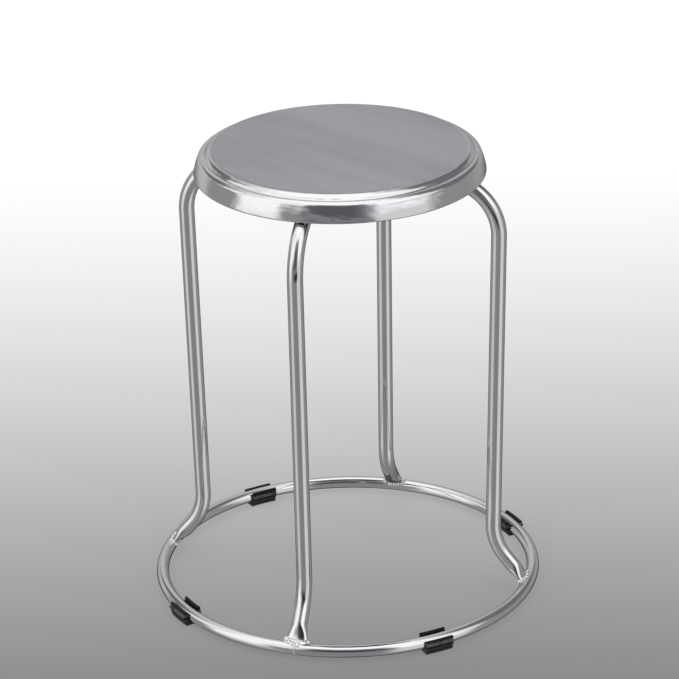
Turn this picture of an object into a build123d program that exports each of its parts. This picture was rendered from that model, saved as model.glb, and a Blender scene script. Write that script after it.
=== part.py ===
from build123d import *
from math import cos, degrees, radians, sin, sqrt, tan
import os

# Round stainless stool: a pressed seat on a bent tube frame that stands on a ring with clip-on feet.
# Millimetres. Opposite legs lie on X and on Y, the front leg is on -Y, Z is up and the floor is z = 0.

# Overall sizes
seat_height = 451.5      # floor to the flat seat top
seat_d = 279.0           # over the skirt
leg_span = 312.8         # opposite legs, axis to axis, where they meet the bridge line
ring_pitch_d = 369.2     # base ring, over the tube's axis

# Seat pan, pressed from one sheet
pan_sheet = 0.8
pan_depth = 24.0         # seat top to the lowest line of the hem
skirt_draft = 16.0       # degrees that the skirt spreads towards its hem
shoulder_corner_r = 5.8  # rounding from the shoulder into the skirt
shoulder_w = 5.6         # from the step's foot to the skirt's upper corner
step_h = 4.6             # raised disc above the shoulder
step_angle = 50.0        # degrees, slope of the step
step_foot_r = 2.0        # hollow rounding where the step lands on the shoulder
disc_edge_r = 8.0        # rounding of the raised disc's edge
hem_d = 3.6              # rolled hem
hem_turn = 250.0         # degrees of the roll

# Board glued into the pan
board_t = 15.0
board_gap = 0.5          # inside the step's upper corner
board_edge_r = 4.0       # upper edge
board_chamfer = 1.5      # lower edge

# Leg tubes
leg_d = 15.0
leg_wall = 0.8
bend_r = 52.5            # to the tube's axis, at the top and at the knee
leg_lean = 1.1           # degrees that the legs draw in towards the floor
knee_rise = 42.2         # knee corner above the ring's axis, which sets how far the lowest run flares
crimp_run = 19.0         # length over which the end is pressed flat
crimp_t = 6.0            # thickness of the flattened end
crimp_steps = 3          # sections of the press, after the round one
cope_start = 4.0         # front and back legs stop this far from the centre line

# Base ring
ring_d = 12.0
ring_wall = 0.8
seam_gap = 1.0           # between the ring's two ends, filled by the seam weld

# Weld beads
ring_weld = 2.2          # leg to ring
bridge_weld = 2.0        # leg to leg, under the seat
bridge_weld_top = 1.2    # kept this far below the board
seam_crown = 0.9         # height of the seam bead
seam_width = 4.0

# Clip-on feet
foot_len = 27.5          # along the ring
foot_base = 3.5          # rubber under the ring
foot_sole = (-5.5, 7.5)  # flat that meets the floor, inwards and outwards from the ring's axis
foot_waist = (-9.8, 10.8)  # cheeks at the height of the ring's axis
foot_lip = (-8.6, 9.2)   # cheeks at their lips
foot_lip_z = (6.6, 4.6)  # lips above the ring's axis, the inner one higher
foot_snap = 2.2          # the mouth is narrowest this far above the ring's axis
foot_mouth = 12.8        # the mouth's width between the lips
foot_grip = 0.05         # clearance on the ring
foot_groove_d = 1.5      # round grooves along the cheeks
foot_groove_at = (0.4, 0.75, 1.5)  # 0 is the sole's corner, 1 the widest line, 2 the lip
foot_angles = {"back_right": 43.6, "back_left": 135.0, "front_left": 226.8, "front_right": 312.8}

# Screws through the bridge tubes into the board
screw_d = 4.0
screw_len = 28.0         # under the head
screw_point = 4.0
screw_head_d = 8.0
screw_head_t = 2.8
screw_head_rim = 0.6     # straight rim under the head's dome
screw_slot_w = 1.2       # cross recess
screw_slot_len = 4.6
screw_slot_depth = 1.6
screw_radius = 75.0      # from the seat's centre
screw_clear = 0.5        # hole in the tube, over the screw
pilot_extra = 1.0        # pilot hole past the screw's point
saddle_d = 11.0
saddle_t = 1.5           # under the tube's lowest line
saddle_ear = 1.4         # height of the saddle above that line

# Heights and radii that follow
ring_r = ring_pitch_d / 2
ring_z = foot_base + ring_d / 2
draft = radians(skirt_draft)
skirt_slope = tan(draft)
hem_r = seat_d / 2 - hem_d / 2 * (1 - cos(draft))  # where the skirt ends and the roll starts
hem_z = seat_height - pan_depth + hem_d / 2 * (1 + sin(draft))
board_top = seat_height - pan_sheet
board_base = board_top - board_t
leg_r = leg_d / 2
bridge_z = board_base - leg_r
leg_reach = leg_span / 2
shoulder_z = seat_height - step_h
skirt_top_r = hem_r - (shoulder_z - hem_z) * skirt_slope
step_r = skirt_top_r - shoulder_w
disc_r = step_r - step_h / tan(radians(step_angle))

# The leg draws in to the knee, and from there the lowest run flares out to the ring's axis
knee_z = ring_z + knee_rise
knee_x = leg_reach - (bridge_z - knee_z) * tan(radians(leg_lean))
ring_point = Vector(ring_r, 0, ring_z)
flare_dir = (ring_point - Vector(knee_x, 0, knee_z)).normalized()


def seat_pan():
    across, down = cos(draft), sin(draft)  # towards the inside, along the skirt's normal

    def skin(inset):
        top = seat_height - inset
        ledge = shoulder_z - inset
        shift = inset * tan(radians(step_angle / 2))
        radii = [disc_edge_r - inset, step_foot_r + inset, shoulder_corner_r - inset]
        corner = (skirt_top_r - inset / across + inset * skirt_slope, ledge)
        end = (hem_r - inset * across, hem_z - inset * down)
        step = [(disc_r - shift, top), (step_r - shift, ledge)]
        outline = FilletPolyline((0, top), *step, corner, end, radius=radii)
        return make_face(outline + Polyline(end, (0, hem_z - hem_r * skirt_slope), (0, top)))

    roll_r = hem_d / 2
    roll_centre = (hem_r - roll_r * across, hem_z - roll_r * down)
    roll_out = CenterArc(roll_centre, roll_r, skirt_draft, -hem_turn)
    roll_in = CenterArc(roll_centre, roll_r - pan_sheet, skirt_draft, -hem_turn)
    roll = make_face(roll_out + roll_in + Line(roll_out @ 0, roll_in @ 0) + Line(roll_out @ 1, roll_in @ 1))
    section = skin(0) - skin(pan_sheet) + roll
    return revolve(Plane.XZ * section, Axis.Z)


def screw_places():
    return [Rotation(0, 0, 90 * k) * Pos(screw_radius, 0, 0) for k in range(4)]


def seat_board():
    rim = disc_r - pan_sheet - board_gap
    edge = board_base + board_chamfer
    outline = Polyline((0, board_base), (rim - board_chamfer, board_base), (rim, edge))
    rounded = FilletPolyline((rim, edge), (rim, board_top), (0, board_top), radius=board_edge_r)
    board = revolve(Plane.XZ * make_face(outline + rounded + Line((0, board_top), (0, board_base))), Axis.Z)
    depth = screw_len - saddle_t - leg_d + pilot_extra
    upward = (Align.CENTER, Align.CENTER, Align.MIN)
    pilot = Pos(0, 0, board_base) * Cylinder(screw_d / 2, depth, align=upward)
    return board - [place * pilot for place in screw_places()]


def crimp(grow):
    # The tube's end goes from round to flat, and its girth stays about the same
    sections = []
    for k in range(crimp_steps + 1):
        share = k / crimp_steps
        pressed = share * share * (3 - 2 * share)
        half_t = leg_r + (crimp_t / 2 - leg_r) * pressed
        half_w = sqrt(2 * leg_r ** 2 - half_t ** 2)
        origin = ring_point - flare_dir * (ring_d / 2 + crimp_run * (1 - share))
        plane = Plane(origin, x_dir=(0, 1, 0), z_dir=flare_dir)
        sections.append(plane * Ellipse(half_w + grow, half_t + grow))
    return loft(sections) + extrude(sections[-1], ring_d / 2, dir=flare_dir)


def leg_body(start, grow=0.0):
    # One leg on +X, solid: bridge, top bend, leg, knee bend and flattened end
    crimp_start = ring_point - flare_dir * (ring_d / 2 + crimp_run)
    route = FilletPolyline(
        (start, 0, bridge_z), (leg_reach, 0, bridge_z), (knee_x, 0, knee_z), crimp_start, radius=bend_r
    )
    tube = sweep(Plane(route @ 0, z_dir=route % 0) * Circle(leg_r + grow), route)
    return tube + crimp(grow)


def ring_body(grow=0.0):
    return Pos(0, 0, ring_z) * Torus(ring_r, ring_d / 2 + grow)


def bridge_core(grow=0.0):
    return Pos(0, 0, bridge_z) * Rotation(0, 90, 0) * Cylinder(leg_r + grow, leg_reach)


def screw_holes():
    hole = Pos(0, 0, bridge_z) * Cylinder((screw_d + screw_clear) / 2, 2 * leg_d)
    return [place * hole for place in screw_places()]


def cross_hoop():
    half = leg_body(0) - leg_body(0, -leg_wall)
    hoop = half + mirror(half, about=Plane.YZ)
    return hoop - ring_body() - screw_holes()


def welded_leg(turn):
    leg = leg_body(cope_start) - leg_body(cope_start, -leg_wall) - ring_body()
    return Rotation(0, 0, turn) * leg - bridge_core() - screw_holes()


def base_ring():
    # The tube's two ends meet under the front leg
    tube = Circle(ring_d / 2) - Circle(ring_d / 2 - ring_wall)
    slot = Pos(0, -ring_r, ring_z) * Box(seam_gap, 2 * ring_d, 2 * ring_d)
    return revolve(Plane.XZ * Pos(ring_r, ring_z) * tube, Axis.Z) - slot


def ring_joint_weld(turn):
    zone = Pos(ring_point - flare_dir * ring_d / 2) * Sphere(leg_d + ring_weld)
    bead = (crimp(ring_weld) & ring_body(ring_weld) & zone) - leg_body(cope_start) - ring_body()
    return Rotation(0, 0, turn) * bead


def ring_seam_weld():
    # A crown round the ring where the front leg leaves it bare, and a root that fills the gap
    outer = ring_d / 2
    bore = outer - ring_wall
    sunk = outer - ring_wall / 2
    crown = ThreePointArc((-seam_width / 2, sunk), (0, outer + seam_crown), (seam_width / 2, sunk))
    root = [(seam_gap / 2, sunk), (seam_gap / 2, bore), (-seam_gap / 2, bore), (-seam_gap / 2, sunk)]
    bead = revolve(make_face(crown + Polyline(crown @ 1, *root, crown @ 0)), Axis.X)
    front_leg = Rotation(0, 0, -90) * leg_body(cope_start)
    return Pos(0, -ring_r, ring_z) * bead - base_ring() - (front_leg - ring_body()) - ring_joint_weld(-90)


def bridge_joint_weld(turn):
    along = Rotation(0, 0, 90) * bridge_core(bridge_weld)
    top = bridge_z + leg_r - bridge_weld_top
    side = Pos(0, 0, top) * Box(2 * leg_d, 2 * leg_d, 2 * leg_d, align=(Align.CENTER, Align.MAX, Align.MAX))
    legs = [bridge_core(), Rotation(0, 0, 90) * bridge_core()]
    bead = (bridge_core(bridge_weld) & along & side) - legs
    return Rotation(0, 0, turn) * bead


def clip_foot(angle):
    inner, outer = [
        [Vector(foot_sole[k], 0), Vector(foot_waist[k], ring_z), Vector(foot_lip[k], ring_z + foot_lip_z[k])]
        for k in (0, 1)
    ]
    block = make_face(Polyline(*outer, *reversed(inner), close=True))
    bore = ring_d / 2 + foot_grip
    snap = sqrt(bore ** 2 - foot_snap ** 2)
    half = foot_mouth / 2
    over = ring_z + max(foot_lip_z) + 1
    right = [(snap, ring_z + foot_snap), (half, ring_z + foot_lip_z[1]), (half, over)]
    left = [(-half, over), (-half, ring_z + foot_lip_z[0]), (-snap, ring_z + foot_snap)]
    section = block - Pos(0, ring_z) * Circle(bore) - make_face(Polyline((0, ring_z), *right, *left, close=True))
    for sole, waist, lip in (inner, outer):
        for share in foot_groove_at:
            at = sole + (waist - sole) * share if share < 1 else waist + (lip - waist) * (share - 1)
            section -= Pos(at.X, at.Y) * Circle(foot_groove_d / 2)
    turn = degrees(foot_len / ring_r)
    foot = revolve(Plane.XZ * Pos(ring_r, 0) * section, Axis.Z, revolution_arc=turn)
    return Rotation(0, 0, angle - turn / 2) * foot


def seat_screws():
    seat_z = bridge_z - leg_r - saddle_t
    shank = screw_d / 2
    head = screw_head_d / 2
    tip = seat_z + screw_len
    crown = seat_z - screw_head_t
    rim = seat_z - screw_head_rim
    flank = Polyline((shank, seat_z), (shank, tip - screw_point), (0, tip), (0, crown))
    dome = ThreePointArc((-head, rim), (0, crown), (head, rim)).trim(0.5, 1)
    under = Polyline((head, rim), (head, seat_z), (shank, seat_z))
    screw = revolve(Plane.XZ * make_face(flank + dome + under), Axis.Z)
    slot = Pos(0, 0, crown) * Box(screw_slot_len, screw_slot_w, 2 * screw_slot_depth)
    screw = screw - slot - Rotation(0, 0, 90) * slot
    return Compound(children=[place * screw for place in screw_places()])


def saddle_washers():
    base = bridge_z - leg_r - saddle_t
    blank = Cylinder(saddle_d / 2, saddle_t + saddle_ear, align=(Align.CENTER, Align.CENTER, Align.MIN))
    hole = Cylinder((screw_d + screw_clear) / 2, 2 * leg_d)
    saddle = Pos(0, 0, base) * (blank - hole) - bridge_core()
    return Compound(children=[place * saddle for place in screw_places()])


pieces = {
    "seat_pan": seat_pan(),
    "seat_board": seat_board(),
    "cross_hoop": cross_hoop(),
    "front_leg": welded_leg(-90),
    "back_leg": welded_leg(90),
    "front_bridge_weld": bridge_joint_weld(0),
    "back_bridge_weld": bridge_joint_weld(180),
    "base_ring": base_ring(),
    "ring_seam_weld": ring_seam_weld(),
    "seat_screws": seat_screws(),
    "saddle_washers": saddle_washers(),
}
for side, turn in (("right", 0), ("back", 90), ("left", 180), ("front", -90)):
    pieces[side + "_ring_weld"] = ring_joint_weld(turn)
for corner, angle in foot_angles.items():
    pieces[corner + "_foot"] = clip_foot(angle)

os.makedirs("parts", exist_ok=True)
for name, piece in pieces.items():
    export_step(piece, os.path.join("parts", name + ".step"))
    print(name, len(piece.solids()), round(piece.volume, 1))
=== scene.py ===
import math

import bpy
from mathutils import Matrix, Vector


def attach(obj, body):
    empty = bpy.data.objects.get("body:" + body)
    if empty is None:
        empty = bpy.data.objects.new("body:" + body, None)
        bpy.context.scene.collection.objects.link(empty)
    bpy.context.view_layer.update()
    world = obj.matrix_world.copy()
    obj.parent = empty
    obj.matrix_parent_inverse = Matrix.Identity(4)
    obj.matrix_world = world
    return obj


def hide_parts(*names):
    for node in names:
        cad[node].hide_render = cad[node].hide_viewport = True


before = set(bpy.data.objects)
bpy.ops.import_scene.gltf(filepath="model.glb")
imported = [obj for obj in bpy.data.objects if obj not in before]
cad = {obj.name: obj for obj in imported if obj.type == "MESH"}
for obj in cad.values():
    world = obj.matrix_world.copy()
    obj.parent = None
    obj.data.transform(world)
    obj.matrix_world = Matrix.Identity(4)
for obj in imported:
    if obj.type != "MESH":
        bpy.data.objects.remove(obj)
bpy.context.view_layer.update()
print("stage: frame loaded,", len(cad), "nodes")


class Wire:
    # a socket that Python sums can use, each sum adds a Math node
    def __init__(self, tree, socket=None):
        self.tree = tree
        self.socket = socket

    def node(self, kind, settings=None, sockets=None, out=0):
        made = self.tree.nodes.new(kind)
        for key, value in (settings or {}).items():
            setattr(made, key, value)
        for key, value in (sockets or {}).items():
            for one in value if isinstance(value, list) else [value]:
                if isinstance(one, Wire):
                    self.tree.links.new(one.socket, made.inputs[key])
                else:
                    made.inputs[key].default_value = one
        return Wire(self.tree, made.outputs[out] if made.outputs else None)

    def of(self, out):  # another output of the same node
        return Wire(self.tree, self.socket.node.outputs[out])

    def math(self, operation, *values):
        return self.node("ShaderNodeMath", {"operation": operation}, dict(enumerate(values)))

    def __add__(self, other):
        return self.math("ADD", self, other)

    __radd__ = __add__

    def __sub__(self, other):
        return self.math("SUBTRACT", self, other)

    def __rsub__(self, other):
        return self.math("SUBTRACT", other, self)

    def __mul__(self, other):
        return self.math("MULTIPLY", self, other)

    __rmul__ = __mul__

    def __truediv__(self, other):
        return self.math("DIVIDE", self, other)

    def __rtruediv__(self, other):
        return self.math("DIVIDE", other, self)

    def __pow__(self, other):
        return self.math("POWER", self, other)

    def __rpow__(self, other):
        return self.math("POWER", other, self)

    def ease(self, low, high):  # soft step, 0 at low and 1 at high
        return self.node("ShaderNodeMapRange", {"interpolation_type": "SMOOTHSTEP"},
                         {0: self, 1: low, 2: high})

    def window(self, low, high, soft):  # 1 between low and high
        return self.ease(low - soft, low + soft) - self.ease(high - soft, high + soft)

    def swing(self, spread):  # this noise as a swing about 0
        return (self - 0.5) * spread

    def noise(self, vector, scale=1.0, detail=2.0, roughness=0.6):
        sockets = {"Vector": vector, "Scale": scale, "Detail": detail, "Roughness": roughness}
        return self.node("ShaderNodeTexNoise", {}, sockets, "Fac")

    def stretched(self, scale, turn=(0.0, 0.0, 0.0)):  # this vector, turned and scaled
        return self.node("ShaderNodeMapping", {"vector_type": "TEXTURE"},
                         {"Vector": self, "Rotation": turn, "Scale": tuple(1 / one for one in scale)})

    def mixed(self, first, second):  # this factor between two colours
        return self.node("ShaderNodeMix", {"data_type": "RGBA"}, {0: self, 6: first, 7: second}, 2)

    def bump(self, strength, depth, under=None):  # this height as a normal, laid over another one
        sockets = {"Strength": strength, "Distance": depth, "Height": self}
        if under:
            sockets["Normal"] = under
        return self.node("ShaderNodeBump", {}, sockets)

    def xyz(self):
        parts = self.node("ShaderNodeSeparateXYZ", {}, {0: self})
        return parts, parts.of("Y"), parts.of("Z")


def joined(first, x, y, z):
    return first.node("ShaderNodeCombineXYZ", {}, {0: x, 1: y, 2: z})


def startMaterial(name):
    made = bpy.data.materials.new(name)
    made.use_nodes = True
    made.node_tree.nodes.clear()
    start = Wire(made.node_tree)
    return made, start, start.node("ShaderNodeTexCoord", {}, {}, "Object")


def endMaterial(start, colour, rough, bump, others):
    sockets = {"Base Color": colour, "Roughness": rough, "Normal": bump, **others}
    shader = start.node("ShaderNodeBsdfPrincipled", {}, sockets)
    start.node("ShaderNodeOutputMaterial", {}, {"Surface": shader})


def grey(value):
    return (value, value, value, 1.0)


seatFinish = {"polished": (0.74, 0.74, 0.75, 1.0), "edge": 0.55, "polishRough": 0.055, "brushRough": 0.34,
              "brushDark": (0.49, 0.485, 0.517, 1.0), "brushLight": (0.61, 0.608, 0.649, 1.0),
              "discEdge": (0.1232, 0.1216), "discHeight": (0.4507, 0.4509), "brushTurn": -0.449,
              "bandScale": (3.0, 17.0, 1.0), "bandSpan": (0.34, 0.66), "bandShare": 0.7, "bandRough": 0.06,
              "lineScale": (14.0, 2600.0, 1.0), "lineShare": 0.3, "lineRough": 0.10, "lineHeight": 0.6,
              "ringScale": (5.0, 2400.0), "ringRough": 0.05, "ringHeight": 0.25,
              "waveScale": (30.0, 30.0, 75.0), "waveDepth": 0.0011, "bump": 0.10, "depth": 0.0002}


def makeSeatSteel():
    f = seatFinish
    made, start, place = startMaterial("brushedSeatSteel")
    x, y, z = place.xyz()
    radius = (x * x + y * y) ** 0.5
    flat = radius.ease(*f["discEdge"]) * z.ease(*f["discHeight"])  # 1 on the raised disc
    turn = (0.0, 0.0, f["brushTurn"])
    bands = start.noise(place.stretched(f["bandScale"], turn), detail=3.0, roughness=0.55)  # broad, soft
    lines = start.noise(place.stretched(f["lineScale"], turn))  # fine brush lines
    around, across = f["ringScale"]
    spun = joined(start, y.math("ARCTAN2", y, x) * around, radius * across, z * across)
    rings = start.noise(spun)  # polishing marks round the rim
    shade = bands.ease(*f["bandSpan"]) * f["bandShare"] + lines * f["lineShare"]
    brushed = shade.mixed(f["brushDark"], f["brushLight"])
    colour = flat.mixed(f["polished"], brushed)
    brushRough = f["brushRough"] + lines.swing(f["lineRough"]) + bands.swing(f["bandRough"])
    polishRough = f["polishRough"] + rings.swing(f["ringRough"])
    rough = flat * brushRough + (1 - flat) * polishRough
    height = flat * lines * f["lineHeight"] + (1 - flat) * rings * f["ringHeight"]
    waves = (1 - flat) * start.noise(place.stretched(f["waveScale"]), roughness=0.5)  # uneven buffing
    wavy = waves.bump(1.0, f["waveDepth"])
    bump = height.bump(f["bump"], f["depth"], wavy)
    endMaterial(start, colour, rough, bump, {"Metallic": 1.0, "Specular Tint": grey(f["edge"])})
    return made


tubeFinish = {"dark": (0.68, 0.68, 0.685, 1.0), "light": (0.78, 0.78, 0.785, 1.0), "edge": 0.35,
              "cloudScale": 38.0, "cloudRough": 0.06, "fineScale": (900.0, 900.0, 420.0),
              "fineRough": 0.05, "rough": 0.06, "bump": 0.06, "depth": 0.0002}


def makeTubeSteel():
    f = tubeFinish
    made, start, place = startMaterial("polishedTubeSteel")
    cloud = start.noise(place, f["cloudScale"], detail=3.0)  # uneven buffing
    fine = start.noise(place.stretched(f["fineScale"]))
    colour = cloud.mixed(f["dark"], f["light"])
    rough = f["rough"] + cloud.swing(f["cloudRough"]) + fine.swing(f["fineRough"])
    bump = fine.bump(f["bump"], f["depth"])
    endMaterial(start, colour, rough, bump, {"Metallic": 1.0, "Specular Tint": grey(f["edge"])})
    return made


weldFinish = {"dark": (0.76, 0.755, 0.75, 1.0), "light": (0.96, 0.96, 0.96, 1.0), "spotScale": 420.0,
              "fineScale": 1500.0, "fineRough": 0.15, "rough": 0.34, "bump": 0.14, "depth": 0.0003}


def makeWeldSteel():
    f = weldFinish
    made, start, place = startMaterial("brightWeld")
    spots = start.noise(place, f["spotScale"], detail=3.0)
    fine = start.noise(place, f["fineScale"])
    colour = spots.mixed(f["dark"], f["light"])
    rough = f["rough"] + fine.swing(f["fineRough"])
    bump = fine.bump(f["bump"], f["depth"])
    endMaterial(start, colour, rough, bump, {"Metallic": 1.0})
    return made


rubberFinish = {"dark": (0.003, 0.003, 0.0035, 1.0), "light": (0.008, 0.008, 0.009, 1.0),
                "ribHighlight": (0.085, 0.085, 0.083, 1.0), "highlightBreakup": (0.2, 0.6),
                "highlightBands": ((0.0018, 0.0007), (0.0053, 0.0010), (0.0107, 0.0030)),  # painted highlights along the rib edges: height, width
                "highlightSoft": 0.0003, "cloudScale": 160.0, "cloudRough": 0.2, "grainScale": 2600.0,
                "rough": 0.34, "shine": 0.15, "bump": 0.08, "depth": 0.0002}


def makeRubber():
    f = rubberFinish
    made, start, place = startMaterial("blackRubber")
    cloud = start.noise(place, f["cloudScale"], detail=3.0)
    grain = start.noise(place, f["grainScale"])
    z = place.xyz()[2]
    # painted highlight: lighter bands along the rib edges, where light would catch them, broken up by noise
    highlightMask = sum(z.window(at - width / 2, at + width / 2, f["highlightSoft"]) for at, width in f["highlightBands"])
    colour = cloud.mixed(f["dark"], f["light"])
    colour = (highlightMask * cloud.ease(*f["highlightBreakup"])).mixed(colour, f["ribHighlight"])
    rough = f["rough"] + cloud.swing(f["cloudRough"])
    bump = grain.bump(f["bump"], f["depth"])
    endMaterial(start, colour, rough, bump, {"Specular IOR Level": f["shine"]})
    return made


boardFinish = {"pale": (0.22, 0.15, 0.09, 1.0), "brown": (0.12, 0.075, 0.04, 1.0), "tone": (0.3, 0.75),
               "grainScale": (3.0, 70.0, 70.0), "poreScale": (60.0, 1400.0, 900.0), "poreRough": 0.2,
               "poreHeight": 0.6, "plyScale": 2100.0, "plyShare": 0.6,
               "rim": (0.0160, 0.0163),  # squares of the radii
               "rough": 0.62, "shine": 0.3, "bump": 0.3, "depth": 0.0003}


def makeBoard():
    f = boardFinish
    made, start, place = startMaterial("plyBoard")
    x, y, z = place.xyz()
    grain = start.noise(place.stretched(f["grainScale"]), detail=4.0)
    pores = start.noise(place.stretched(f["poreScale"]))
    layer = z * f["plyScale"]
    plies = layer.math("SINE", layer) * 0.5 + 0.5  # layers at the rim
    rim = (x * x + y * y).ease(*f["rim"])
    tone = (1 - rim) * grain + rim * (plies * f["plyShare"] + grain * (1 - f["plyShare"]))
    colour = tone.ease(*f["tone"]).mixed(f["pale"], f["brown"])
    rough = f["rough"] + pores.swing(f["poreRough"])
    bump = (grain + pores * f["poreHeight"]).bump(f["bump"], f["depth"])
    endMaterial(start, colour, rough, bump, {"Specular IOR Level": f["shine"]})
    return made


fastenerFinish = {"dark": (0.55, 0.56, 0.58, 1.0), "light": (0.74, 0.73, 0.70, 1.0), "cloudScale": 300.0,
                  "cloudRough": 0.2, "fineScale": 2400.0, "rough": 0.30, "bump": 0.15, "depth": 0.0002}


def makeZinc():
    f = fastenerFinish
    made, start, place = startMaterial("zincFastener")
    cloud = start.noise(place, f["cloudScale"], detail=3.0)
    fine = start.noise(place, f["fineScale"])
    colour = cloud.mixed(f["dark"], f["light"])
    rough = f["rough"] + cloud.swing(f["cloudRough"])
    bump = fine.bump(f["bump"], f["depth"])
    endMaterial(start, colour, rough, bump, {"Metallic": 1.0})
    return made


seatSteel = makeSeatSteel()
tubeSteel = makeTubeSteel()
weldSteel = makeWeldSteel()
rubber = makeRubber()
board = makeBoard()
zinc = makeZinc()
print("stage: finishes made")

socketKinds = {float: "NodeSocketFloat", int: "NodeSocketInt", tuple: "NodeSocketVector",
               bpy.types.Material: "NodeSocketMaterial"}


def startTree(name, values):
    tree = bpy.data.node_groups.new(name, "GeometryNodeTree")
    tree.interface.new_socket(name="Geometry", in_out="OUTPUT", socket_type="NodeSocketGeometry")
    tree.interface.new_socket(name="Geometry", in_out="INPUT", socket_type="NodeSocketGeometry")
    for label, value in values.items():
        tree.interface.new_socket(name=label, in_out="INPUT", socket_type=socketKinds[type(value)])
    entry = Wire(tree).node("NodeGroupInput", {}, {}, "Geometry")
    return tree, entry, {label: entry.of(label) for label in values}


def endTree(shape, material, crease=None):
    real = shape.node("GeometryNodeRealizeInstances", {}, {"Geometry": shape})
    smooth = real.node("GeometryNodeSetShadeSmooth", {}, {"Geometry": real})
    if crease:  # edges sharper than this stay sharp
        angle = smooth.node("GeometryNodeInputMeshEdgeAngle")
        steep = angle.math("GREATER_THAN", angle, crease)
        smooth = smooth.node("GeometryNodeSetShadeSmooth", {"domain": "EDGE"},
                             {"Geometry": smooth, "Selection": steep, "Shade Smooth": False})
    painted = smooth.node("GeometryNodeSetMaterial", {}, {"Geometry": smooth, "Material": material})
    painted.node("NodeGroupOutput", {}, {0: painted})


def grown(name, source, tree, values):
    holder = bpy.data.objects.new(name + "Source", source)
    bpy.context.scene.collection.objects.link(holder)
    change = holder.modifiers.new("grow", "NODES")
    change.node_group = tree
    for item in tree.interface.items_tree:
        if item.in_out == "INPUT" and item.name in values:
            change[item.identifier] = values[item.name]
    graph = bpy.context.evaluated_depsgraph_get()
    mesh = bpy.data.meshes.new_from_object(holder.evaluated_get(graph), depsgraph=graph)
    holder.modifiers.remove(change)
    bpy.data.objects.remove(holder)
    mesh.name = name
    piece = bpy.data.objects.new(name, mesh)
    bpy.context.scene.collection.objects.link(piece)
    print("stage:", name, len(mesh.polygons), "faces")
    return piece


def onRoot(piece, slot, *nodes):
    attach(piece, "root")
    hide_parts(*nodes)


def polyCurve(name, runs, closed=False):
    # a point's fourth number, where it has one, is its radius
    curve = bpy.data.curves.new(name, "CURVE")
    curve.dimensions = "3D"
    for points in runs:
        spline = curve.splines.new("POLY")
        spline.points.add(len(points) - 1)
        for point, place in zip(spline.points, points):
            point.co = (*place[:3], 1.0)
            point.radius = place[3] if len(place) > 3 else 1.0
        spline.use_cyclic_u = closed
    return curve


def circle(start, steps, radius):
    return start.node("GeometryNodeCurvePrimitiveCircle", {}, {"Resolution": steps, "Radius": radius})


def swept(path, section, caps=False):
    return path.node("GeometryNodeCurveToMesh", {},
                     {"Curve": path, "Profile Curve": section, "Fill Caps": caps})


def merged(shape, gap=1e-6):
    return shape.node("GeometryNodeMergeByDistance", {}, {"Geometry": shape, "Distance": gap})


def turned(shape, angle):
    spin = joined(shape, 0.0, 0.0, angle)
    return shape.node("GeometryNodeTransform", {}, {"Geometry": shape, "Rotation": spin})


def dotted(first, second):
    return first.node("ShaderNodeVectorMath", {"operation": "DOT_PRODUCT"}, {0: first, 1: second}, "Value")


def roundedPath(corners, radii, steps, hold):
    # straight runs with arcs at the inner corners, and a point just off each arc to keep the flats flat
    points = [corners[0]]
    for before, corner, after, radius in zip(corners, corners[1:], corners[2:], radii):
        a, c, b = Vector(before), Vector(corner), Vector(after)
        toA, toB = (a - c).normalized(), (b - c).normalized()
        half = toA.angle(toB) / 2
        reach = radius / math.tan(half)
        centre = c + (toA + toB).normalized() * radius / math.sin(half)
        first, last = c + toA * reach, c + toB * reach
        sweep = math.pi - 2 * half
        points.append(tuple(first + toA * hold))
        for k in range(steps + 1):
            share = k / steps
            arm = (first - centre) * math.sin((1 - share) * sweep) + (last - centre) * math.sin(share * sweep)
            points.append(tuple(centre + arm / math.sin(sweep)))
        points.append(tuple(last + toB * hold))
    return points + [corners[-1]]


panShape = {"top": 0.4515, "radius": 0.1395, "sheet": 0.0008, "depth": 0.024, "draft": 16.0,
            "cornerRadius": 0.0058, "shoulder": 0.0056, "stepHeight": 0.0046, "stepAngle": 50.0,
            "footRadius": 0.002, "discEdge": 0.008, "hemRadius": 0.0018, "hemTurn": 250.0, "hemSteps": 28,
            "around": 288, "arcSteps": 14, "hold": 0.0001, "bow": 0.00035, "bowSteps": 10}


def panSkin(inset):
    # the outline from the seat's centre to the hem, this far inside the outer skin
    p = panShape
    draft, step = math.radians(p["draft"]), math.radians(p["stepAngle"])
    across, down, slope = math.cos(draft), math.sin(draft), math.tan(draft)
    hem = p["top"] - p["depth"] + p["hemRadius"] * (1 + down)
    hemReach = p["radius"] - p["hemRadius"] * (1 - across)
    ledge = p["top"] - p["stepHeight"]
    skirtTop = hemReach - (ledge - hem) * slope
    stepFoot = skirtTop - p["shoulder"]
    discReach = stepFoot - p["stepHeight"] / math.tan(step)
    shift = inset * math.tan(step / 2)
    corners = [(0.0, p["top"] - inset),
               (discReach - shift, p["top"] - inset),
               (stepFoot - shift, ledge - inset),
               (skirtTop - inset / across + inset * slope, ledge - inset),
               (hemReach - inset * across, hem - inset * down)]
    radii = [p["discEdge"] - inset, p["footRadius"] + inset, p["cornerRadius"] - inset]
    points = roundedPath(corners, radii, p["arcSteps"], p["hold"])
    top, foot = Vector(points[-2]), Vector(points[-1])
    shares = [k / p["bowSteps"] for k in range(1, p["bowSteps"])]
    bow = Vector((across, down)) * p["bow"]
    bowed = [tuple(top.lerp(foot, t) + bow * 4 * t * (1 - t)) for t in shares]
    return points[:-1] + bowed + points[-1:]  # the skirt is pressed a little round


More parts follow.
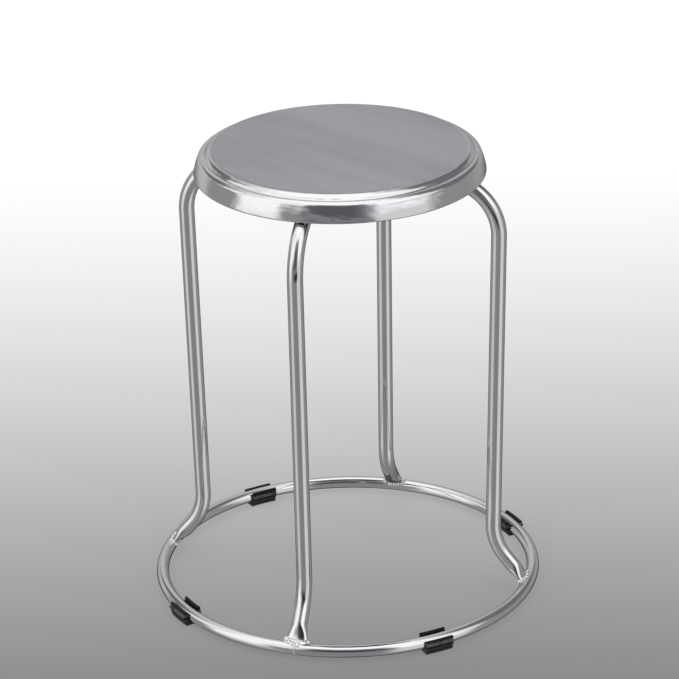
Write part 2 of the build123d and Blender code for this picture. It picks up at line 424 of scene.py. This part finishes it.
def makePan():
    p = panShape
    reach, height = p["radius"] - p["hemRadius"], p["top"] - p["depth"] + p["hemRadius"]  # hem's centre
    steps = p["hemSteps"]
    turns = [math.radians(p["hemTurn"] * k / steps - p["draft"]) for k in range(steps + 1)]
    rolls = []
    for radius, order in ((p["hemRadius"], 1), (p["hemRadius"] - p["sheet"], -1)):
        rolls += [(reach + radius * math.cos(t), height - radius * math.sin(t)) for t in turns[::order]]
    profile = panSkin(0.0)[:-1] + rolls + panSkin(p["sheet"])[::-1][1:]
    values = {"Radius": p["radius"], "Around": p["around"], "Finish": seatSteel}
    tree, entry, sizes = startTree("panLathe", values)
    path = circle(entry, sizes["Around"], sizes["Radius"])
    endTree(merged(swept(path, entry)), sizes["Finish"])
    section = polyCurve("panSection", [[(r - p["radius"], -z, 0.0) for r, z in profile]])
    onRoot(grown("seatPan", section, tree, values), "seat_steel", "seat_pan")


makePan()

ringShape = {"radius": 0.1846, "height": 0.0095, "tube": 0.006, "around": 288, "section": 40}


def makeRing():
    r = ringShape
    values = {"Radius": r["radius"], "Height": r["height"], "Tube": r["tube"], "Around": r["around"],
              "Section": r["section"], "Finish": tubeSteel}
    tree, entry, sizes = startTree("ringTube", values)
    path = circle(entry, sizes["Around"], sizes["Radius"])
    tube = swept(path, circle(entry, sizes["Section"], sizes["Tube"]))
    rise = joined(tube, 0.0, 0.0, sizes["Height"])
    lifted = tube.node("GeometryNodeTransform", {}, {"Geometry": tube, "Translation": rise})
    endTree(lifted, sizes["Finish"])
    piece = grown("baseRing", bpy.data.meshes.new("ringStart"), tree, values)
    onRoot(piece, "polished_tube", "base_ring")


makeRing()

legShape = {"tube": 0.0075, "bridge": 0.4282, "reach": 0.1564, "lean": 1.1, "kneeRise": 0.0422,
            "bend": 0.0525, "pressRun": 0.019, "pressed": 0.006, "start": 0.004, "sink": 0.4,
            "bendSteps": 28, "spacing": 0.0016, "section": 40}
ringPoint = Vector((ringShape["radius"], 0.0, ringShape["height"]))
kneeHeight = ringShape["height"] + legShape["kneeRise"]
kneeReach = legShape["reach"] - (legShape["bridge"] - kneeHeight) * math.tan(math.radians(legShape["lean"]))
flare = (ringPoint - Vector((kneeReach, 0.0, kneeHeight))).normalized()
pressNormal = Vector((-flare.z, 0.0, flare.x))
legEnd = ringPoint - flare * ringShape["tube"] * legShape["sink"]  # inside the ring's tube, under the weld


def makeLeg(name, start, turn, node):
    g = legShape
    values = {"Tube": g["tube"], "Bend": g["bend"], "Bend Steps": g["bendSteps"], "Spacing": g["spacing"],
              "Section": g["section"], "Press Run": g["pressRun"], "Press Half": g["pressed"] / 2,
              "Press Stop": ringShape["tube"], "Turn": math.radians(turn), "Flare": tuple(flare),
              "Press Normal": tuple(pressNormal), "Ring Point": tuple(ringPoint), "Finish": tubeSteel}
    tree, entry, sizes = startTree(name + "Tube", values)
    bent = entry.node("GeometryNodeFilletCurve", {"mode": "POLY"},
                      {"Curve": entry, "Count": sizes["Bend Steps"], "Radius": sizes["Bend"]})
    even = bent.node("GeometryNodeResampleCurve", {"mode": "LENGTH"},
                     {"Curve": bent, "Length": sizes["Spacing"]})
    tube = swept(even, circle(entry, sizes["Section"], sizes["Tube"]), True)
    x, y, z = entry.node("GeometryNodeInputPosition").xyz()
    side = x.math("SIGN", x)
    away = entry.node("ShaderNodeVectorMath", {"operation": "SUBTRACT"},
                      {0: joined(x, x.math("ABSOLUTE", x), y, z), 1: sizes["Ring Point"]})
    along = dotted(away, sizes["Flare"])
    thick = dotted(away, sizes["Press Normal"])
    share = (sizes["Press Run"] + sizes["Press Stop"] + along) / sizes["Press Run"]
    pressed = share.ease(0.0, 1.0)
    halfThick = sizes["Tube"] + (sizes["Press Half"] - sizes["Tube"]) * pressed
    halfWide = (2 * sizes["Tube"] * sizes["Tube"] - halfThick * halfThick) ** 0.5  # the girth stays
    push = thick * (halfThick / sizes["Tube"] - 1)
    nx, _, nz = sizes["Press Normal"].xyz()
    offset = joined(x, push * nx * side, y * (halfWide / sizes["Tube"] - 1), push * nz)
    formed = tube.node("GeometryNodeSetPosition", {}, {"Geometry": tube, "Offset": offset})
    endTree(turned(formed, sizes["Turn"]), sizes["Finish"])
    right = [(g["reach"], 0.0, g["bridge"]), (kneeReach, 0.0, kneeHeight), tuple(legEnd)]
    if start is None:  # one tube for two opposite legs
        route = [(-px, py, pz) for px, py, pz in right[::-1]] + right
    else:
        route = [(start, 0.0, g["bridge"])] + right
    onRoot(grown(name, polyCurve(name + "Route", [route]), tree, values), "polished_tube", node)


makeLeg("crossHoop", None, 0.0, "cross_hoop")
makeLeg("frontLeg", legShape["start"], -90.0, "front_leg")
makeLeg("backLeg", legShape["start"], 90.0, "back_leg")

weldShape = {"ring": {"bead": 0.0027, "pitch": 0.0024, "spread": 0.16, "wander": 0.0008, "seed": 12},
             "seam": {"bead": 0.0021, "pitch": 0.0011, "spread": 0.18, "wander": 0.0002, "seed": 23},
             "bridge": {"bead": 0.0019, "pitch": 0.0013, "spread": 0.2, "wander": 0.0003, "seed": 41},
             "ballSteps": 3, "squash": 0.75, "voxel": 0.00028, "band": 0.0005, "threshold": 0.1, "smooth": 9,
             "speck": 200.0,  # shells with fewer faces are dropped
             "pathPoints": 72, "halvings": 40, "climb": 0.001, "toes": (0.28, 0.56), "sink": 0.0012,
             "seamSpan": (-185.0, 82.0), "seamThin": 0.45, "seamSteps": 60,
             "bridgeFrom": 46.0, "bridgeSteps": 72, "bridgeLift": 0.0002}


def jointPath(toe):
    # where the pressed leg end meets the ring, found along the leg's own lines
    # a toe slides the outer half of the path down the ring's outside
    w = weldShape
    ring, height, tube = ringShape["radius"], ringShape["height"], ringShape["tube"]
    halfThick = legShape["pressed"] / 2
    halfWide = math.sqrt(2 * legShape["tube"] ** 2 - halfThick ** 2)
    points = []
    for k in range(w["pathPoints"]):
        t = 2 * math.pi * k / w["pathPoints"]
        wide = Vector((0.0, halfWide * math.cos(t), 0.0))
        base = ringPoint + wide + pressNormal * halfThick * math.sin(t)
        low, high = 0.0, 2 * tube
        for _ in range(w["halvings"]):
            middle = (low + high) / 2
            p = base - flare * middle
            gap = math.hypot(math.hypot(p.x, p.y) - ring, p.z - height)
            low, high = (middle, high) if gap < tube else (low, middle)
        p = base - flare * (low + w["climb"])
        if toe:
            outward = math.hypot(p.x, p.y)
            slide = math.atan2(p.z - height, outward - ring) - toe * max(0.0, math.sin(t))
            arm = tube - w["sink"]
            spread = (ring + arm * math.cos(slide)) / outward
            p = Vector((p.x * spread, p.y * spread, height + arm * math.sin(slide)))
        points.append(tuple(p))
    return points


def seamPath():
    # round the ring's tube at the front, where the leg leaves it bare
    low, high = weldShape["seamSpan"]
    tube, thin, steps = ringShape["tube"], weldShape["seamThin"], weldShape["seamSteps"]
    points = []
    for k in range(steps + 1):
        t = math.radians(low + (high - low) * k / steps)
        swell = thin + (1 - thin) * max(0.0, math.sin(t)) if t > 0 else thin  # thickest on top
        reach, rise = tube * math.cos(t), tube * math.sin(t)
        points.append((0.0, -ringShape["radius"] - reach, ringShape["height"] + rise, swell))
    return points


def bridgePath(side):
    # under the seat, where a single leg's tube lands on the hoop's tube
    start, steps = weldShape["bridgeFrom"], weldShape["bridgeSteps"]
    tube = legShape["tube"] + weldShape["bridgeLift"]
    points = []
    for k in range(steps + 1):
        t = math.radians(start + (360.0 - 2 * start) * k / steps)
        reach = tube * math.sin(t)
        points.append((reach, side * abs(reach), legShape["bridge"] + tube * math.cos(t)))
    return points


def beadTree(name, values):
    # beads along the paths, melted into one skin
    tree, entry, sizes = startTree(name, values)
    dots = entry.node("GeometryNodeCurveToPoints", {"mode": "LENGTH"},
                      {"Curve": entry, "Length": sizes["Pitch"]}, "Points")
    ball = entry.node("GeometryNodeMeshIcoSphere", {},
                      {"Radius": sizes["Bead"], "Subdivisions": weldShape["ballSteps"]})
    low, high = 1 - sizes["Spread"], 1 + sizes["Spread"]
    swell = entry.node("GeometryNodeInputRadius")  # of the path at this bead
    size = swell * entry.node("FunctionNodeRandomValue", {"data_type": "FLOAT"},
                              {2: low, 3: high, "Seed": sizes["Seed"]}, 1)
    thin = size * sizes["Squash"]
    reach = sizes["Wander"]
    least = joined(entry, 0 - reach, 0 - reach, 0 - reach)
    most = joined(entry, reach, reach, reach)
    drift = entry.node("FunctionNodeRandomValue", {"data_type": "FLOAT_VECTOR"},
                       {0: least, 1: most, "Seed": sizes["Seed"] + 1}, 0)
    moved = dots.node("GeometryNodeSetPosition", {}, {"Geometry": dots, "Offset": drift})
    ripples = moved.node("GeometryNodeInstanceOnPoints", {}, {
        "Points": moved, "Instance": ball, "Rotation": dots.of("Rotation"),
        "Scale": joined(entry, size, size, thin)})
    real = ripples.node("GeometryNodeRealizeInstances", {}, {"Geometry": ripples})
    volume = real.node("GeometryNodeMeshToVolume", {"resolution_mode": "VOXEL_SIZE"}, {
        "Mesh": real, "Density": 1.0, "Voxel Size": sizes["Voxel"], "Interior Band Width": weldShape["band"]})
    skin = volume.node("GeometryNodeVolumeToMesh", {"resolution_mode": "VOXEL_SIZE"}, {
        "Volume": volume, "Voxel Size": sizes["Voxel"], "Threshold": weldShape["threshold"],
        "Adaptivity": 0.0})
    shell = skin.node("GeometryNodeInputMeshIsland")
    count = shell.node("GeometryNodeAccumulateField", {"data_type": "FLOAT", "domain": "FACE"},
                       {"Value": 1.0, "Group ID": shell}, "Total")
    skin = skin.node("GeometryNodeDeleteGeometry", {"domain": "FACE"},
                     {"Geometry": skin, "Selection": count.math("LESS_THAN", count, sizes["Speck"])})
    at = skin.node("GeometryNodeInputPosition")
    calm = at.node("GeometryNodeBlurAttribute", {"data_type": "FLOAT_VECTOR"},
                   {0: at, "Iterations": sizes["Smooth"]})
    melted = skin.node("GeometryNodeSetPosition", {}, {"Geometry": skin, "Position": calm})
    endTree(melted, sizes["Finish"])
    return tree


def makeWelds(name, kind, runs, closed, *nodes):
    w, size = weldShape, weldShape[kind]
    values = {"Bead": size["bead"], "Pitch": size["pitch"], "Squash": w["squash"], "Spread": size["spread"],
              "Wander": size["wander"], "Seed": size["seed"], "Voxel": w["voxel"], "Smooth": w["smooth"],
              "Speck": w["speck"], "Finish": weldSteel}
    paths = polyCurve(name + "Paths", runs, closed)
    onRoot(grown(name, paths, beadTree(name + "Beads", values), values), "weld", *nodes)


joints = [(turn, 0.0) for turn in (0.0, 90.0, 180.0, 270.0)]
joints += [(270.0, toe) for toe in weldShape["toes"]]  # the front weld is the fat one
ringRuns = [[tuple(Matrix.Rotation(math.radians(turn), 3, "Z") @ Vector(p)) for p in jointPath(toe)]
            for turn, toe in joints]
makeWelds("ringWelds", "ring", ringRuns, True,
          "right_ring_weld", "back_ring_weld", "left_ring_weld", "front_ring_weld")
makeWelds("seamWeld", "seam", [seamPath()], False, "ring_seam_weld")
makeWelds("bridgeWelds", "bridge", [bridgePath(-1), bridgePath(1)], False,
          "front_bridge_weld", "back_bridge_weld")

footShape = {"length": 0.0275, "sole": (-0.0055, 0.0075), "waist": (-0.0098, 0.0108),
             "lip": (-0.0086, 0.0092), "lipHeight": (0.0066, 0.0046), "snap": 0.0022, "mouth": 0.0128,
             "grip": 0.00005, "groove": 0.00095, "grooveAt": (0.4, 0.75, 1.5), "grooveSteps": 8,
             "boreSteps": 16, "round": 0.0005, "roundSteps": 3, "crease": 0.7, "along": 14,
             "turns": {"Back Right": 43.6, "Back Left": 135.0, "Front Left": 226.8, "Front Right": 312.8}}


def footCheek(side):
    # one side of the clip's outline, from its sole over the lip to the bottom of its bore
    f = footShape
    height = ringShape["height"]
    sign = 2 * side - 1
    lip = height + f["lipHeight"][side]
    corners = ((f["sole"][side], 0.0), (f["waist"][side], height), (f["lip"][side], lip))
    knots = [Vector(corner) for corner in corners]
    outline = [tuple(knots[0])]
    for low, (first, last) in enumerate(zip(knots, knots[1:])):
        run = (last - first).normalized()
        inward = Vector((-run.y, run.x)) * sign
        for share in f["grooveAt"]:
            if low < share < low + 1:  # a round groove along the cheek
                at = first + (last - first) * (share - low)
                for k in range(f["grooveSteps"] + 1):
                    t = math.pi * k / f["grooveSteps"]
                    deep = inward * f["groove"] * math.sin(t)
                    outline.append(tuple(at - run * f["groove"] * math.cos(t) + deep))
        outline.append(tuple(last))
    bore = ringShape["tube"] + f["grip"]
    top = math.asin(f["snap"] / bore)
    outline.append((sign * f["mouth"] / 2, lip))
    for k in range(f["boreSteps"] + 1):
        t = top - (top + math.pi / 2) * k / f["boreSteps"]
        outline.append((sign * bore * math.cos(t), height + bore * math.sin(t)))
    return outline


def makeFeet():
    f = footShape
    arc = f["length"] / ringShape["radius"]
    turns = {label + " Turn": math.radians(turn) for label, turn in f["turns"].items()}
    values = {"Ring Radius": ringShape["radius"], "Along": f["along"], "Start": -arc / 2, "Sweep": arc,
              "Round": f["round"], "Finish": rubber, **turns}
    tree, entry, sizes = startTree("clipFeet", values)
    path = entry.node("GeometryNodeCurveArc", {"mode": "RADIUS"}, {
        "Resolution": sizes["Along"], "Radius": sizes["Ring Radius"], "Start Angle": sizes["Start"],
        "Sweep Angle": sizes["Sweep"]})
    upright = path.node("GeometryNodeSetCurveNormal", {"mode": "Z_UP"}, {"Curve": path})
    soft = entry.node("GeometryNodeFilletCurve", {"mode": "POLY"}, {
        "Curve": entry, "Count": f["roundSteps"], "Radius": sizes["Round"], "Limit Radius": True})
    clip = merged(swept(upright, soft, True))
    placed = [turned(clip, sizes[label]) for label in turns]
    feet = clip.node("GeometryNodeJoinGeometry", {}, {"Geometry": placed})
    endTree(feet, sizes["Finish"], f["crease"])
    outline = footCheek(0) + footCheek(1)[-2::-1]
    section = polyCurve("footSection", [[(n, -z, 0.0) for n, z in outline]], True)
    clips = [node for node in cad if node.endswith("_foot")]
    onRoot(grown("clipFeet", section, tree, values), "foot_rubber", *clips)


makeFeet()

for name, material in (("seat_board", board), ("seat_screws", zinc), ("saddle_washers", zinc)):
    cad[name].data.materials.clear()
    cad[name].data.materials.append(material)
print("stage: kept nodes finished")

cameraPlace = {"focal": 3484.4, "frame": 679.0, "sensor": 36.0, "clip": 100.0, "tilt": 23.469,
               "roll": 1.171, "turn": 16.26, "place": (0.86588, -2.98205, 1.60075)}
viewTurn = math.radians(cameraPlace["turn"])


def makeCamera():
    c = cameraPlace
    data = bpy.data.cameras.new("photoCamera")
    data.sensor_width = c["sensor"]
    data.lens = c["focal"] / c["frame"] * c["sensor"]
    data.clip_end = c["clip"]
    camera = bpy.data.objects.new("photoCamera", data)
    bpy.context.scene.collection.objects.link(camera)
    aim = Matrix.Identity(4)
    for angle, axis in ((c["turn"], "Z"), (90.0 - c["tilt"], "X"), (-c["roll"], "Z")):
        aim = aim @ Matrix.Rotation(math.radians(angle), 4, axis)
    camera.matrix_world = Matrix.Translation(c["place"]) @ aim
    bpy.context.scene.camera = camera


makeCamera()


def makeSheet(name, corners, material):
    mesh = bpy.data.meshes.new(name)
    mesh.from_pydata(corners, [], [(0, 1, 2, 3)])
    mesh.materials.append(material)
    sheet = bpy.data.objects.new(name, mesh)
    bpy.context.scene.collection.objects.link(sheet)
    return sheet


floorShape = {"size": 40.0, "dark": 0.11, "least": 0.16, "front": (-0.80, 1.42), "back": (0.3, 1.9),
              "glow": 0.78}


def makeFloor():
    f = floorShape
    made, start, place = startMaterial("paleFloor")
    x, y, _ = place.xyz()
    away = y * math.cos(viewTurn) - x * math.sin(viewTurn)  # metres behind the stool, seen from the camera
    # painted shade: the floor's colour darkens towards the camera
    behind = (0 - away).ease(*f["back"])
    pale = away.ease(*f["front"])
    pale = pale.math("MAXIMUM", pale, behind.math("MAXIMUM", behind, f["least"]))
    colour = pale.mixed(grey(f["dark"]), grey(1.0))
    plain = start.node("ShaderNodeBsdfDiffuse", {}, {"Color": colour})
    glow = start.node("ShaderNodeEmission", {}, {"Color": colour, "Strength": 1.0})
    surface = start.node("ShaderNodeMixShader", {}, {0: f["glow"], 1: plain, 2: glow})  # the floor glows with its own colour, painted light that makes the stool's shadow paler
    start.node("ShaderNodeOutputMaterial", {}, {"Surface": surface})
    half = f["size"] / 2
    floor = makeSheet("floor", [(-half, -half, 0), (half, -half, 0), (half, half, 0), (-half, half, 0)], made)
    floor.visible_glossy = False  # metal sees the studio all round instead


makeFloor()

flagCard = {"near": 0.785, "sides": (-0.22, 0.36), "heights": (0.18, 0.36), "soft": 0.07, "shade": 0.04}


def makeFlagCard():
    # a low dark card in front of the stool, which only the polished metal sees
    f = flagCard
    ahead = Vector((math.sin(viewTurn), -math.cos(viewTurn), 0.0)) * f["near"]
    across = Vector((math.cos(viewTurn), math.sin(viewTurn), 0.0))
    made, start, place = startMaterial("darkCard")
    x, y, z = place.xyz()
    mask = (x * across.x + y * across.y).window(*f["sides"], f["soft"]) * z.window(*f["heights"], f["soft"])
    clear = start.node("ShaderNodeBsdfTransparent")
    dark = start.node("ShaderNodeEmission", {}, {"Color": grey(f["shade"])})
    surface = start.node("ShaderNodeMixShader", {}, {0: mask, 1: clear, 2: dark})
    start.node("ShaderNodeOutputMaterial", {}, {"Surface": surface})
    left, right = f["sides"][0] - f["soft"], f["sides"][1] + f["soft"]
    low, high = f["heights"][0] - f["soft"], f["heights"][1] + f["soft"]
    spots = ((left, low), (right, low), (right, high), (left, high))
    corners = [ahead + across * side + Vector((0.0, 0.0, height)) for side, height in spots]
    card = makeSheet("flagCard", corners, made)
    card.visible_camera = False
    card.visible_diffuse = False
    card.visible_shadow = False


makeFlagCard()

# spans are in degrees, and a window's third number is how soft its edges are
studio = {"frontColour": (0.27, 0.275, 0.295, 1.0),
          "sideColour": (0.33, 0.33, 0.335, 1.0), "sideSpan": (18.0, 46.0),
          "backColour": (0.63, 0.63, 0.645, 1.0), "backSpan": (110.0, 160.0),
          "lowColour": (0.29, 0.29, 0.285, 1.0), "lowSpan": (-34.0, -58.0),
          "cornerColour": (0.74, 0.74, 0.73, 1.0), "cornerSpan": (-116.0, -138.0),
          "edgeColour": (0.10, 0.10, 0.10, 1.0), "edgeSpan": (120.0, 160.0), "edgeDrop": (-8.0, -24.0),
          "gapColour": (0.12, 0.122, 0.13, 1.0), "gap": (-26.0, 18.0, 9.0), "gapRise": (4.0, 40.0, 7.0),
          "left": (-86.0, -48.0, 7.0), "leftRise": (-66.0, 58.0, 14.0), "leftFade": (-62.0, 20.0),
          "leftLow": (0.36, 0.36, 0.355, 1.0), "leftHigh": (1.27, 1.26, 1.23, 1.0),
          "right": (26.0, 74.0, 7.0), "rightRise": (-50.0, 58.0, 14.0), "rightFade": (2.0, 26.0),
          "rightLow": (0.79, 0.79, 0.80, 1.0), "rightHigh": (1.28, 1.29, 1.31, 1.0),
          "dimColour": (0.19, 0.19, 0.20, 1.0),
          "dimRight": (94.0, 160.0, 10.0), "dimRightRise": (16.0, 62.0, 8.0),
          "dimLeft": (-158.0, -116.0, 8.0), "dimLeftRise": (18.0, 42.0, 8.0),
          "wingColour": (1.05, 1.05, 1.04, 1.0), "wingRise": (16.0, 58.0, 9.0),
          "wings": ((-114.0, -86.0, 7.0), (72.0, 86.0, 6.0), (-50.0, -29.0, 6.0)),
          "topColour": (1.30, 1.30, 1.30, 1.0), "topSpan": (44.0, 66.0), "topNarrow": (6.0, 4.0),
          "topDelay": 14.0, "fill": 0.75}


def makeStudio():
    s = studio
    world = bpy.data.worlds.new("softStudio")
    bpy.context.scene.world = world
    world.use_nodes = True
    world.node_tree.nodes.clear()
    start = Wire(world.node_tree)
    x, y, z = start.node("ShaderNodeTexCoord", {}, {}, "Generated").xyz()
    front = x * math.sin(viewTurn) - y * math.cos(viewTurn)
    aside = x * math.cos(viewTurn) + y * math.sin(viewTurn)
    angle = aside.math("ARCTAN2", aside, front) * math.degrees(1.0)  # 0 towards the camera
    rise = z.math("ARCSINE", z) * math.degrees(1.0)
    wide = angle.math("ABSOLUTE", angle)
    base = wide.ease(*s["sideSpan"]).mixed(s["frontColour"], s["sideColour"])
    base = wide.ease(*s["backSpan"]).mixed(base, s["backColour"])
    base = rise.ease(*s["lowSpan"]).mixed(base, s["lowColour"])
    base = angle.ease(*s["cornerSpan"]).mixed(base, s["cornerColour"])
    edges = wide.ease(*s["edgeSpan"]) * rise.ease(*s["edgeDrop"])
    base = edges.mixed(base, s["edgeColour"])  # dark tube edges
    ahead = angle.window(*s["gap"])  # unlit room between the two soft boxes
    base = (ahead * rise.window(*s["gapRise"])).mixed(base, s["gapColour"])
    for side in ("left", "right"):  # the soft boxes
        glow = rise.ease(*s[side + "Fade"]).mixed(s[side + "Low"], s[side + "High"])
        base = (angle.window(*s[side]) * rise.window(*s[side + "Rise"])).mixed(base, glow)
    shade = angle.window(*s["dimRight"])  # unlit room behind to the right
    dim = shade * rise.window(*s["dimRightRise"])
    dim = dim + angle.window(*s["dimLeft"]) * rise.window(*s["dimLeftRise"])
    base = dim.mixed(base, s["dimColour"])
    wings = sum(angle.window(*span) for span in s["wings"])
    base = (wings * rise.window(*s["wingRise"])).mixed(base, s["wingColour"])
    low, high = s["topSpan"]
    later, sooner = s["topNarrow"]  # sharper above the gap
    top = (rise - shade * s["topDelay"]).ease(low + ahead * later, high - ahead * sooner)
    base = top.mixed(base, s["topColour"])
    path = start.node("ShaderNodeLightPath")
    shown = path.of("Is Camera Ray").mixed(base, grey(1.0))
    level = 1.0 + path.of("Is Diffuse Ray") * s["fill"]
    light = start.node("ShaderNodeBackground", {}, {"Color": shown, "Strength": level})
    start.node("ShaderNodeOutputWorld", {}, {"Surface": light})


makeStudio()

bpy.context.scene.view_settings.view_transform = "Standard"
print("stage: studio ready")
